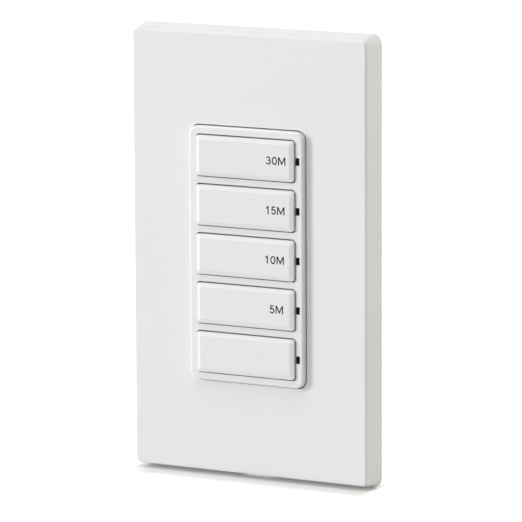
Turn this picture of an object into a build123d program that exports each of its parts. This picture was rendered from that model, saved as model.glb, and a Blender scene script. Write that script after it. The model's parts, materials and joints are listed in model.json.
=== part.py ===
from build123d import *
from math import atan, degrees, radians, tan
import os

os.makedirs("parts", exist_ok=True)

# A push-button timer light switch under a cover plate that snaps on.
# Millimetres. +Z is up, the wall plane is y = 0 and the buttons face -Y.
# The origin lies midway between the two box screws, on the wall plane.
# A level is a distance forward of the wall plane: level 6.5 is y = -6.5.

# Cover plate
plate_width = 70.5
plate_height = 117.7
plate_depth = 6.5
plate_flare = 1.35
plate_corner = 2.5
plate_edge_round = 0.5
plate_wall = 1.7
plate_face = 1.7
pry_slot_width = 8.0
pry_slot_depth = 1.2

# Snap hooks and seat ribs inside the cover plate
hook_length = 9.0
hook_pitch = 20.0
hook_catch = 0.55
hook_lip = 0.5
hook_play = 0.1
seat_rib_thickness = 1.2
seat_rib_length = 7.0
seat_rib_inset = 5.0
seat_rib_rows = 4

# Sub-plate that the cover plate snaps onto
sub_plate_thickness = 1.8
sub_plate_corner = 3.0
sub_plate_gap = 0.35
sub_plate_opening_gap = 0.4
sub_plate_rim_width = 1.2
sub_plate_rim_height = 1.1
notch_gap = 0.5

# Mounting strap
strap_thickness = 1.3
strap_width = 42.0
strap_body_height = 72.0
strap_neck_width = 33.0
strap_height = 105.0
strap_corner = 2.0
ear_height = 7.0
ear_notch_radius = 1.6
ear_score_width = 0.6
ear_score_depth = 0.4
strap_window_width = 31.0
strap_window_height = 58.4
strap_window_corner = 1.0
box_slot_length = 7.4

# Standard screw places on a one-gang device
box_screw_spacing = 83.34
plate_screw_spacing = 96.8

# Number 6-32 screws
machine_screw_radius = 1.7526
screw_hole_gap = 0.1
box_head_radius = 3.2
box_head_height = 2.0
box_screw_length = 25.4
box_neck_radius = 1.35
flat_head_radius = 2.9
flat_head_angle = 82
plate_screw_length = 12.7
driver_slot_width = 0.9
driver_slot_depth = 0.9
head_round = 0.4
retainer_size = 9.5
retainer_thickness = 0.6

# Ground tab and its screw
tab_width = 6.5
tab_reach = 9.0
tab_below_housing = 3.2
tab_hole_level = 5.0
tab_bend_radius = 1.3
tab_stand = 1.6
hex_head_radius = 4.0
hex_head_height = 2.4
ground_screw_length = 8.0

# Bezel that frames the buttons
bezel_width = 33.2
bezel_height = 66.7
bezel_proud = 1.5
bezel_corner = 2.35
bezel_edge_round = 0.6
bezel_face = 2.0
bezel_wall = 1.2
bezel_gap = 0.32
bezel_boss_radius = 2.0
bezel_boss_height = 3.0
bezel_leg_width = 1.6
bezel_leg_depth = 1.6

# Five push buttons
button_pitch = 12.89
button_opening_width = 29.1
button_opening_height = 11.23
button_opening_corner = 1.05
button_gap = 0.35
button_edge_proud = 0.5
button_bevel_width = 1.1
button_bevel_depth = 0.35
button_face_corner = 0.3
button_round = 0.15
button_top = 1.4
button_wall = 1.2
button_skirt_reach = 0.9
button_rest_gap = 0.1
button_travel = 0.5
tab_lip = 0.7
tab_span = 2.5
tab_offset = 3.35
post_radius = 1.6
post_rib_thickness = 0.9
post_rib_height = 1.6

# Indicator windows beside the buttons
window_width = 1.1
window_height = 2.0
window_gap = 0.07
lens_recess = 0.25
lens_stem_width = 0.7
lens_shoulder_height = 3.2
lens_shoulder_length = 1.6
lens_tail_gap = 0.1
led_length = 1.6
led_width = 0.7
led_height = 0.6

# Tactile switches
switch_size = 6.2
switch_height = 3.5
switch_corner = 0.5
switch_bore_radius = 1.9
switch_floor = 0.6
switch_foot_width = 0.8
switch_foot_reach = 1.2
switch_foot_thickness = 0.3
switch_foot_pitch = 4.5
plunger_radius = 1.75
plunger_proud = 1.1
plunger_play = 0.15

# Circuit boards
board_thickness = 1.6
board_edge_gap = 0.35
board_notch_gap = 0.3
control_board_depth = 1.2
boards_apart = 3.7
board_screw_radius = 1.0
board_screw_length = 7.5
board_screw_head_radius = 2.1
board_screw_head_height = 1.4
board_screw_from_end = 2.95
header_pins = 6
header_pitch = 2.54
header_width = 2.5
header_pin_radius = 0.32
header_pin_hole_gap = 0.13
header_pin_tail = 0.8
header_place_share = (-0.4032, 0)

# Housing behind the strap
housing_width = 41.5
housing_height = 68.5
housing_depth = 26.0
housing_wall = 1.8
housing_corner = 3.0
housing_back_round = 1.5
housing_inner_corner = 1.2
back_panel_width_share = 0.52
back_panel_height_share = 0.46
back_panel_corner = 1.5
back_panel_depth = 0.35
strip_gauge_length = 16.0
strip_gauge_width = 2.6
strip_gauge_depth = 0.6
strip_gauge_place_share = (-0.34, -0.2336)
corner_post_width = 7.75
corner_post_height = 3.85
housing_screw_place_share = (0.4217, 0.4678)
housing_screw_radius = 1.2
housing_screw_bite = 2.7
housing_screw_head_radius = 2.1
housing_screw_head_height = 1.8
counterbore_level = 10.0
counterbore_gap = 0.2
shelf_reach = 1.5
shelf_width = 3.0
shelf_place_share = 0.3723
pillar_radius = 2.5

# Screw terminals in side bays
bay_depth = 4.2
bay_wall = 1.5
bay_length = 11.4
bay_height = 11.0
terminal_place_share = 0.2336
lug_thickness = 0.8
lug_end_gap = 0.3
lug_width = 9.0
lug_leg_width = 3.0
lug_leg_proud = 0.5
clamp_size = 8.4
clamp_thickness = 1.2
clamp_gap = 0.3
clamp_rib_radius = 0.25
clamp_corner = 0.4
terminal_head_radius = 3.9
terminal_head_height = 1.9
terminal_screw_tip_gap = 0.2
terminal_tip_hole = 1.3
wire_hole_radius = 1.2
wire_hole_pitch = 5.6

# Parts soldered to the boards
lead_radius = 0.3
relay_size = (15.2, 19.0, 15.2)
relay_place_share = (-0.0403, -0.2414)
relay_round = 0.6
film_capacitor_size = (7.4, 18.0, 14.0)
film_capacitor_place_share = (0.2849, -0.2414)
film_capacitor_round = 0.8
bulk_capacitor_radius = 4.0
bulk_capacitor_height = 12.0
bulk_capacitor_place_share = (-0.3817, -0.1791)
output_capacitor_radius = 3.15
output_capacitor_height = 11.0
output_capacitor_place_share = (-0.3844, -0.3178)
can_groove_depth = 0.35
can_groove_height = 1.0
can_groove_start = 1.2
can_round = 0.5
varistor_radius = 5.0
varistor_thickness = 4.2
varistor_place_share = (0.0806, 0.3505)
varistor_stand = 0.8
varistor_lead_pitch = 5.0
varistor_round = 1.2
fuse_radius = 4.2
fuse_height = 7.8
fuse_place_share = (0.2312, 0.2025)
inductor_radius = 4.0
inductor_height = 9.0
inductor_place_share = (-0.2419, 0.2025)
inductor_flange = 1.0
inductor_waist = 0.9
rectifier_size = (8.4, 6.4, 3.3)
rectifier_place_share = (-0.2419, 0.0405)
rectifier_lead_pitch = 5.08
regulator_radius = 2.35
regulator_flat = 1.2
regulator_height = 4.6
regulator_stand = 0.9
regulator_place_share = (0.2527, 0.0405)
regulator_lead_pitch = 1.27
resistor_radius = 1.6
resistor_waist = 1.3
resistor_length = 9.0
resistor_cap = 1.8
resistor_place_share = (-0.2151, 0.3583)
chip_size = (12.8, 7.5, 2.2)
chip_place_share = (0.1344, 0.1713)
chip_leads = 10
chip_lead_pitch = 1.27
chip_lead_width = 0.42
chip_lead_reach = 1.4
chip_lead_thickness = 0.25
crystal_length = 10.8
crystal_width = 4.6
crystal_height = 3.2
crystal_place_share = (0.1075, -0.1402)

overrun = 1.0

button_names = ["30_min", "15_min", "10_min", "5_min", "off"]

# Levels, forward of the wall plane
strap_front = strap_thickness
sub_plate_front = strap_front + sub_plate_thickness
plate_front = plate_depth
plate_inside = plate_front - plate_face
bezel_land = plate_front + bezel_proud
bezel_inside = bezel_land - bezel_face
button_edge = bezel_land + button_edge_proud
button_face = button_edge + button_bevel_depth
button_inside = button_edge - button_top + button_edge_proud
tab_top = bezel_inside - button_rest_gap
skirt_end = tab_top - button_skirt_reach
control_board_front = -control_board_depth
control_board_back = control_board_front - board_thickness
switch_top = control_board_front + switch_height
plunger_tip = switch_top + plunger_proud
plunger_end = control_board_front + switch_floor + button_travel + plunger_play
power_board_front = control_board_back - boards_apart
power_board_back = power_board_front - board_thickness
housing_back = -housing_depth
housing_inside = housing_back + housing_wall
lens_front = bezel_land - lens_recess
lens_tail = control_board_front + led_height + lens_tail_gap
bay_front = power_board_back - bay_wall
bay_back = bay_front - bay_length
bay_middle = (bay_front + bay_back) / 2

# Sizes worked out from those above
plate_taper = degrees(atan(plate_flare / plate_depth))
opening_width = bezel_width + 2 * bezel_gap
opening_height = bezel_height + 2 * bezel_gap
opening_corner = bezel_corner + bezel_gap
flare_at_sub_plate = plate_flare * sub_plate_front / plate_depth
sub_plate_width = plate_width - 2 * (plate_wall + flare_at_sub_plate + sub_plate_gap)
sub_plate_height = plate_height - 2 * (plate_wall + flare_at_sub_plate + sub_plate_gap)
button_width = button_opening_width - 2 * button_gap
button_height = button_opening_height - 2 * button_gap
button_corner = button_opening_corner - button_gap
window_left = button_opening_width / 2
lens_left = window_left + window_gap
lens_middle = lens_left + lens_stem_width / 2
board_width = housing_width - 2 * (housing_wall + board_edge_gap)
board_height = housing_height - 2 * (housing_wall + board_edge_gap)
board_screw_place = board_height / 2 - board_screw_from_end
inner_width = housing_width - 2 * housing_wall
inner_height = housing_height - 2 * housing_wall
bay_floor = housing_width / 2 - bay_depth
button_rows = [button_pitch * (2 - row) for row in range(len(button_names))]


def share_of(width, height, shares):
    """A place from its shares of the width and height that carry it."""
    return (shares[0] * width, shares[1] * height)


housing_screw_place = share_of(bezel_width, bezel_height, housing_screw_place_share)
shelf_place = shelf_place_share * housing_height
terminal_place = terminal_place_share * housing_height
header_place = share_of(board_width, board_height, header_place_share)
relay_place = share_of(board_width, board_height, relay_place_share)
film_capacitor_place = share_of(board_width, board_height, film_capacitor_place_share)
bulk_capacitor_place = share_of(board_width, board_height, bulk_capacitor_place_share)
output_capacitor_place = share_of(board_width, board_height, output_capacitor_place_share)
varistor_place = share_of(board_width, board_height, varistor_place_share)
fuse_place = share_of(board_width, board_height, fuse_place_share)
inductor_place = share_of(board_width, board_height, inductor_place_share)
rectifier_place = share_of(board_width, board_height, rectifier_place_share)
regulator_place = share_of(board_width, board_height, regulator_place_share)
resistor_place = share_of(board_width, board_height, resistor_place_share)
chip_place = share_of(board_width, board_height, chip_place_share)
crystal_place = share_of(board_width, board_height, crystal_place_share)


def facing(level):
    """The plane at a level, seen from the front: its x is X and its y is Z."""
    return Plane.XZ.offset(level)


# Cover plate: a drafted shell with a framed opening, snap hooks and seat ribs
with BuildPart() as wall_plate:
    with BuildSketch(facing(0)):
        RectangleRounded(plate_width, plate_height, plate_corner)
    extrude(amount=plate_depth, taper=plate_taper)
    front_face = wall_plate.faces().sort_by(Axis.Y)[0]
    fillet(front_face.edges(), plate_edge_round)
    with BuildSketch(facing(0)):
        RectangleRounded(
            plate_width - 2 * plate_wall,
            plate_height - 2 * plate_wall,
            plate_corner - plate_wall / 2,
        )
    extrude(amount=plate_inside, taper=plate_taper, mode=Mode.SUBTRACT)
    with BuildSketch(facing(plate_inside - overrun)):
        RectangleRounded(opening_width, opening_height, opening_corner)
    extrude(amount=plate_face + 2 * overrun, mode=Mode.SUBTRACT)
    # Ribs that stop against the sub-plate, in two columns beside the opening
    rib_x = sub_plate_width / 2 - seat_rib_inset
    rib_z = sub_plate_height / 2 - seat_rib_inset
    with BuildSketch(facing(sub_plate_front)):
        with GridLocations(2 * rib_x, 2 * rib_z / (seat_rib_rows - 1), 2, seat_rib_rows):
            Rectangle(seat_rib_thickness, seat_rib_length)
    extrude(amount=plate_inside - sub_plate_front + plate_face / 2)
    # Hooks along the top and bottom edges catch behind the sub-plate
    catch_level = strap_front - hook_play
    tip_z = sub_plate_height / 2 - hook_catch
    root_z = plate_height / 2 - plate_wall / 2
    with BuildSketch(Plane.YZ.offset(-hook_length / 2)) as hook_profile:
        with BuildLine():
            Polyline(
                (-catch_level, root_z),
                (-catch_level, tip_z),
                (-catch_level + hook_lip, tip_z),
                (0, root_z - plate_wall / 4),
                (0, root_z),
                close=True,
            )
        make_face()
    hook = extrude(hook_profile.sketch, amount=hook_length, mode=Mode.PRIVATE)
    with Locations((-hook_pitch, 0, 0), (0, 0, 0), (hook_pitch, 0, 0)):
        add(hook)
        add(mirror(hook, about=Plane.XY, mode=Mode.PRIVATE))
    # A slot in the lower rim lets a blade lift the plate off
    with BuildSketch(facing(0)):
        with Locations((0, -plate_height / 2)):
            Rectangle(pry_slot_width, 2 * plate_wall + overrun)
    extrude(amount=pry_slot_depth, mode=Mode.SUBTRACT)
wall_plate.part.label = "wall_plate"
export_step(wall_plate.part, "parts/wall_plate.step")


# Sub-plate: a flat frame screwed to the strap, open round the box screw heads
notch_width = 2 * (box_head_radius + notch_gap)
with BuildPart() as sub_plate:
    with BuildSketch(facing(strap_front)):
        RectangleRounded(sub_plate_width, sub_plate_height, sub_plate_corner)
    extrude(amount=sub_plate_thickness)
    with BuildSketch(facing(sub_plate_front)):
        RectangleRounded(
            opening_width + 2 * (sub_plate_opening_gap + sub_plate_rim_width),
            opening_height + 2 * (sub_plate_opening_gap + sub_plate_rim_width),
            opening_corner + sub_plate_opening_gap + sub_plate_rim_width,
        )
    extrude(amount=sub_plate_rim_height)
    with BuildSketch(facing(strap_front - overrun)):
        RectangleRounded(
            opening_width + 2 * sub_plate_opening_gap,
            opening_height + 2 * sub_plate_opening_gap,
            opening_corner + sub_plate_opening_gap,
        )
        SlotCenterToCenter(box_screw_spacing, notch_width, rotation=90)
    extrude(amount=sub_plate_thickness + sub_plate_rim_height + 2 * overrun, mode=Mode.SUBTRACT)
    with Locations(facing(sub_plate_front)):
        with GridLocations(0, plate_screw_spacing, 1, 2):
            CounterSinkHole(
                machine_screw_radius + screw_hole_gap,
                flat_head_radius + screw_hole_gap,
                counter_sink_angle=flat_head_angle,
            )
sub_plate.part.label = "sub_plate"
export_step(sub_plate.part, "parts/sub_plate.step")


# Strap: pressed steel with plaster ears, box screw slots and a bent ground tab
housing_bottom = -housing_height / 2
tab_middle = housing_bottom - tab_below_housing - tab_width / 2
tab_x = -strap_neck_width / 2 - tab_stand
tab_face = tab_x - strap_thickness / 2
with BuildPart() as strap:
    with BuildSketch(facing(0)):
        RectangleRounded(strap_width, strap_body_height, strap_corner)
        Rectangle(strap_neck_width, strap_height - ear_height)
        with GridLocations(0, strap_height - ear_height, 1, 2):
            RectangleRounded(strap_width, ear_height, strap_corner)
        with GridLocations(strap_neck_width, strap_height - 2 * ear_height, 2, 2):
            Circle(ear_notch_radius, mode=Mode.SUBTRACT)
        RectangleRounded(
            strap_window_width, strap_window_height, strap_window_corner, mode=Mode.SUBTRACT
        )
        with GridLocations(0, box_screw_spacing, 1, 2):
            SlotOverall(box_slot_length, 2 * (machine_screw_radius + 2 * screw_hole_gap), mode=Mode.SUBTRACT)
        with GridLocations(0, plate_screw_spacing, 1, 2):
            Circle(machine_screw_radius + screw_hole_gap / 2, mode=Mode.SUBTRACT)
        with GridLocations(2 * housing_screw_place[0], 2 * housing_screw_place[1], 2, 2):
            Circle(housing_screw_radius + screw_hole_gap, mode=Mode.SUBTRACT)
    extrude(amount=strap_thickness)
    # Score lines, where the plaster ears break off
    with BuildSketch(facing(0)):
        with GridLocations(strap_neck_width, strap_height - ear_height, 2, 2):
            Rectangle(ear_score_width, ear_height + overrun)
    extrude(amount=ear_score_depth, mode=Mode.SUBTRACT)
    # The tab leaves the neck sideways and bends back into the box
    with BuildSketch(Plane.XY.offset(tab_middle - tab_width / 2)):
        with BuildLine():
            FilletPolyline(
                (-strap_neck_width / 2 + strap_thickness, -strap_thickness / 2),
                (tab_x, -strap_thickness / 2),
                (tab_x, tab_reach),
                radius=tab_bend_radius,
            )
        trace(line_width=strap_thickness)
    extrude(amount=tab_width)
    with BuildSketch(Plane.YZ.offset(tab_face - overrun)):
        with Locations((tab_hole_level, tab_middle)):
            Circle(machine_screw_radius + screw_hole_gap / 2)
    extrude(amount=strap_thickness + 2 * overrun, mode=Mode.SUBTRACT)
strap.part.label = "strap"
export_step(strap.part, "parts/strap.step")


# Box screws: round slotted heads on a thin neck, which the fibre squares hold
thread_start = -retainer_thickness - screw_hole_gap
with BuildPart() as box_screws:
    with BuildSketch(facing(strap_front)):
        with GridLocations(0, box_screw_spacing, 1, 2):
            Circle(box_head_radius)
    extrude(amount=box_head_height)
    fillet(box_screws.faces().sort_by(Axis.Y)[:2].edges(), head_round)
    with BuildSketch(facing(strap_front)):
        with GridLocations(0, box_screw_spacing, 1, 2):
            Circle(box_neck_radius)
    extrude(amount=thread_start - strap_front)
    with BuildSketch(facing(thread_start)):
        with GridLocations(0, box_screw_spacing, 1, 2):
            Circle(machine_screw_radius)
    extrude(amount=strap_front - thread_start - box_screw_length)
    with BuildSketch(facing(strap_front + box_head_height)):
        with GridLocations(0, box_screw_spacing, 1, 2):
            Rectangle(2 * box_head_radius + overrun, driver_slot_width)
    extrude(amount=-driver_slot_depth, mode=Mode.SUBTRACT)
box_screws.part.label = "box_screws"
export_step(box_screws.part, "parts/box_screws.step")


# Fibre squares that keep the box screws in the strap
with BuildPart() as screw_retainers:
    with BuildSketch(facing(0)):
        with GridLocations(0, box_screw_spacing, 1, 2):
            Rectangle(retainer_size, retainer_size)
            Circle(box_neck_radius + screw_hole_gap, mode=Mode.SUBTRACT)
    extrude(amount=-retainer_thickness)
screw_retainers.part.label = "screw_retainers"
export_step(screw_retainers.part, "parts/screw_retainers.step")


# Flat-head screws that hold the sub-plate to the strap
flat_head_depth = (flat_head_radius - machine_screw_radius) / tan(radians(flat_head_angle / 2))
with BuildPart() as sub_plate_screws:
    with BuildSketch(Plane.YZ) as flat_head_profile:
        with BuildLine():
            Polyline(
                (-sub_plate_front, 0),
                (-sub_plate_front, flat_head_radius),
                (-sub_plate_front + flat_head_depth, machine_screw_radius),
                (-sub_plate_front + plate_screw_length, machine_screw_radius),
                (-sub_plate_front + plate_screw_length, 0),
                close=True,
            )
        make_face()
    flat_screw = revolve(flat_head_profile.sketch, axis=Axis.Y, mode=Mode.PRIVATE)
    with Locations((0, 0, plate_screw_spacing / 2), (0, 0, -plate_screw_spacing / 2)):
        add(flat_screw)
    with BuildSketch(facing(sub_plate_front)):
        with GridLocations(0, plate_screw_spacing, 1, 2):
            Rectangle(2 * flat_head_radius + overrun, driver_slot_width)
    extrude(amount=-driver_slot_depth, mode=Mode.SUBTRACT)
sub_plate_screws.part.label = "sub_plate_screws"
export_step(sub_plate_screws.part, "parts/sub_plate_screws.step")


# Ground screw: hexagon head on the outside of the tab
with BuildPart() as ground_screw:
    with BuildSketch(Plane.YZ.offset(tab_face)):
        with Locations((tab_hole_level, tab_middle)):
            RegularPolygon(hex_head_radius, 6)
    extrude(amount=-hex_head_height)
    with BuildSketch(Plane.YZ.offset(tab_face)):
        with Locations((tab_hole_level, tab_middle)):
            Circle(machine_screw_radius)
    extrude(amount=ground_screw_length)
    with BuildSketch(Plane.YZ.offset(tab_face - hex_head_height)):
        with Locations((tab_hole_level, tab_middle)):
            Rectangle(2 * hex_head_radius + overrun, driver_slot_width)
    extrude(amount=driver_slot_depth, mode=Mode.SUBTRACT)
ground_screw.part.label = "ground_screw"
export_step(ground_screw.part, "parts/ground_screw.step")


# Bezel: a deep frame with five button openings, each joined to its indicator window
divider_rows = [button_pitch * (1.5 - row) for row in range(len(button_names) - 1)]
leg_x = bezel_width / 2 - bezel_wall - bezel_leg_depth / 2
with BuildPart() as bezel:
    with BuildSketch(facing(strap_front)):
        RectangleRounded(bezel_width, bezel_height, bezel_corner)
    extrude(amount=bezel_land - strap_front)
    fillet(bezel.faces().sort_by(Axis.Y)[0].edges(), bezel_edge_round)
    with BuildSketch(facing(strap_front)):
        RectangleRounded(
            bezel_width - 2 * bezel_wall, bezel_height - 2 * bezel_wall, bezel_corner - bezel_wall
        )
    extrude(amount=bezel_inside - strap_front, mode=Mode.SUBTRACT)
    with BuildSketch(facing(bezel_inside - overrun)):
        with GridLocations(0, button_pitch, 1, len(button_names)):
            RectangleRounded(button_opening_width, button_opening_height, button_opening_corner)
        with Locations((window_left + window_width / 2 - window_width / 4, 0)):
            with GridLocations(0, button_pitch, 1, len(button_names)):
                Rectangle(window_width * 1.5, window_height)
    extrude(amount=bezel_face + 2 * overrun, mode=Mode.SUBTRACT)
    # Screw bosses in the corners, in front of the strap
    with BuildSketch(facing(strap_front)):
        with GridLocations(2 * housing_screw_place[0], 2 * housing_screw_place[1], 2, 2):
            Circle(bezel_boss_radius)
    extrude(amount=bezel_boss_height)
    with BuildSketch(facing(strap_front)):
        with GridLocations(2 * housing_screw_place[0], 2 * housing_screw_place[1], 2, 2):
            Circle(housing_screw_radius + screw_hole_gap / 2)
    extrude(amount=bezel_boss_height, mode=Mode.SUBTRACT)
    # Legs pass through the strap window and press the control board down
    with BuildSketch(facing(control_board_front)):
        with GridLocations(2 * leg_x, divider_rows[0] - divider_rows[-1], 2, 2):
            Rectangle(bezel_leg_depth, bezel_leg_width)
    extrude(amount=bezel_inside - control_board_front)
bezel.part.label = "bezel"
export_step(bezel.part, "parts/bezel.step")


# Push buttons: bevelled caps with retaining tabs, cross ribs and a post on the switch
with BuildPart() as button:
    with BuildSketch(facing(skirt_end)):
        RectangleRounded(button_width, button_height, button_corner)
    extrude(amount=button_edge - skirt_end)
    with BuildSketch(facing(button_edge)):
        RectangleRounded(button_width, button_height, button_corner)
    with BuildSketch(facing(button_face)):
        RectangleRounded(
            button_width - 2 * button_bevel_width,
            button_height - 2 * button_bevel_width,
            button_face_corner,
        )
    loft(ruled=True)
    # Soft edges round the face, where the bevel meets it
    fillet(button.faces().sort_by(Axis.Y)[0].edges(), button_round)
    with BuildSketch(facing(skirt_end)):
        RectangleRounded(
            button_width - 2 * button_wall, button_height - 2 * button_wall, button_face_corner
        )
    extrude(amount=button_inside - skirt_end, mode=Mode.SUBTRACT)
    with BuildSketch(facing(skirt_end)):
        with GridLocations(button_width + tab_lip - button_wall / 2, 2 * tab_offset, 2, 2):
            Rectangle(tab_lip + button_wall / 2, tab_span)
    extrude(amount=tab_top - skirt_end)
    with BuildSketch(facing(button_inside - post_rib_height)):
        Rectangle(button_width - button_wall, post_rib_thickness)
        Rectangle(post_rib_thickness, button_height - button_wall)
    extrude(amount=post_rib_height + button_top / 2)
    with BuildSketch(facing(plunger_tip)):
        Circle(post_radius)
    extrude(amount=button_inside - plunger_tip + button_top / 2)

for name, row in zip(button_names, button_rows):
    with BuildPart() as placed_button:
        with Locations((0, 0, row)):
            add(button.part)
    placed_button.part.label = f"button_{name}"
    export_step(placed_button.part, f"parts/button_{name}.step")


# Indicator lenses: smoked light guides from the board to the windows
with BuildPart() as lens:
    with BuildSketch(facing(lens_front)):
        with Locations((window_left + window_width / 2, 0)):
            Rectangle(window_width - 2 * window_gap, window_height - 2 * window_gap)
    extrude(amount=bezel_inside - lens_front)
    with BuildSketch(facing(bezel_inside)):
        with Locations((lens_middle, 0)):
            Rectangle(lens_stem_width, lens_shoulder_height)
    extrude(amount=-lens_shoulder_length)
    with BuildSketch(facing(bezel_inside)):
        with Locations((lens_middle, 0)):
            Rectangle(lens_stem_width, window_height - 2 * window_gap)
    extrude(amount=lens_tail - bezel_inside)

for name, row in zip(button_names, button_rows):
    with BuildPart() as placed_lens:
        with Locations((0, 0, row)):
            add(lens.part)
    placed_lens.part.label = f"lens_{name}"
    export_step(placed_lens.part, f"parts/lens_{name}.step")


# Light-emitting chips under the lenses
with BuildPart() as indicator_leds:
    with BuildSketch(facing(control_board_front)):
        with Locations((lens_middle, 0)):
            with GridLocations(0, button_pitch, 1, len(button_names)):
                Rectangle(led_width, led_length)
    extrude(amount=led_height)
indicator_leds.part.label = "indicator_leds"
export_step(indicator_leds.part, "parts/indicator_leds.step")


# Tactile switch: a square body with a bore for its plunger and four soldered feet
with BuildPart() as tactile_switch:
    with BuildSketch(facing(control_board_front)):
        RectangleRounded(switch_size, switch_size, switch_corner)
    extrude(amount=switch_height)
    with BuildSketch(facing(control_board_front)):
        with GridLocations(0, switch_foot_pitch, 1, 2):
            Rectangle(switch_size + 2 * switch_foot_reach, switch_foot_width)
    extrude(amount=switch_foot_thickness)
    with BuildSketch(facing(control_board_front + switch_floor)):
        Circle(switch_bore_radius)
    extrude(amount=switch_height, mode=Mode.SUBTRACT)

# Plunger: a round cap that slides in the switch's bore
with BuildPart() as plunger:
    with BuildSketch(facing(plunger_tip)):
        Circle(plunger_radius)
    extrude(amount=plunger_end - plunger_tip)
    chamfer(plunger.faces().sort_by(Axis.Y)[0].edges(), plunger_play)

for name, row in zip(button_names, button_rows):
    with BuildPart() as placed_switch:
        with Locations((0, 0, row)):
            add(tactile_switch.part)
    placed_switch.part.label = f"switch_{name}"
    export_step(placed_switch.part, f"parts/switch_{name}.step")
    with BuildPart() as placed_plunger:
        with Locations((0, 0, row)):
            add(plunger.part)
    placed_plunger.part.label = f"plunger_{name}"
    export_step(placed_plunger.part, f"parts/plunger_{name}.step")


# Both boards share this outline: corners cut away round the housing posts
notch_x = corner_post_width - board_edge_gap + board_notch_gap
notch_z = corner_post_height - board_edge_gap + board_notch_gap
with BuildSketch(facing(control_board_back)) as board_outline:
    Rectangle(board_width, board_height)
    with GridLocations(board_width, board_height, 2, 2):
        Rectangle(2 * notch_x, 2 * notch_z, mode=Mode.SUBTRACT)
    with Locations(header_place):
        with GridLocations(0, header_pitch, 1, header_pins):
            Circle(header_pin_radius + header_pin_hole_gap, mode=Mode.SUBTRACT)

with BuildPart() as control_board:
    extrude(board_outline.sketch, amount=board_thickness)
control_board.part.label = "control_board"
export_step(control_board.part, "parts/control_board.step")


# Power board: notched over the housing shelves, slotted for the terminal lugs
terminal_places = [
    (bay_floor + lug_thickness / 2, terminal_place),
    (bay_floor + lug_thickness / 2, -terminal_place),
    (-bay_floor - lug_thickness / 2, terminal_place),
]
with BuildPart() as power_board:
    with BuildSketch(facing(power_board_back)):
        Rectangle(board_width, board_height)
        with GridLocations(board_width, board_height, 2, 2):
            Rectangle(2 * notch_x, 2 * notch_z, mode=Mode.SUBTRACT)
        with Locations(header_place):
            with GridLocations(0, header_pitch, 1, header_pins):
                Circle(header_pin_radius + header_pin_hole_gap, mode=Mode.SUBTRACT)
        with GridLocations(board_width, 2 * shelf_place, 2, 2):
            Rectangle(
                2 * (shelf_reach - board_edge_gap + board_notch_gap),
                shelf_width + 2 * board_notch_gap,
                mode=Mode.SUBTRACT,
            )
        with Locations(*terminal_places):
            Rectangle(
                lug_thickness + board_notch_gap,
                lug_leg_width + board_notch_gap,
                mode=Mode.SUBTRACT,
            )
        with GridLocations(0, 2 * board_screw_place, 1, 2):
            Circle(board_screw_radius + 2 * screw_hole_gap, mode=Mode.SUBTRACT)
    extrude(amount=board_thickness)
power_board.part.label = "power_board"
export_step(power_board.part, "parts/power_board.step")


# Pin header that joins the two boards
with BuildPart() as board_header:
    with BuildSketch(facing(power_board_front)):
        with Locations(header_place):
            Rectangle(header_width, header_pins * header_pitch)
    extrude(amount=boards_apart)
    with BuildSketch(facing(power_board_back - header_pin_tail)):
        with Locations(header_place):
            with GridLocations(0, header_pitch, 1, header_pins):
                Circle(header_pin_radius)
    extrude(amount=boards_apart + 2 * (board_thickness + header_pin_tail))
board_header.part.label = "board_header"
export_step(board_header.part, "parts/board_header.step")


# Screws through the power board into the housing pillars
with BuildPart() as board_screws:
    with BuildSketch(facing(power_board_front)):
        with GridLocations(0, 2 * board_screw_place, 1, 2):
            Circle(board_screw_head_radius)
    extrude(amount=board_screw_head_height)
    fillet(board_screws.faces().sort_by(Axis.Y)[:2].edges(), head_round)
    with BuildSketch(facing(power_board_front)):
        with GridLocations(0, 2 * board_screw_place, 1, 2):
            Circle(board_screw_radius)
    extrude(amount=-board_screw_length)
board_screws.part.label = "board_screws"
export_step(board_screws.part, "parts/board_screws.step")


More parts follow.
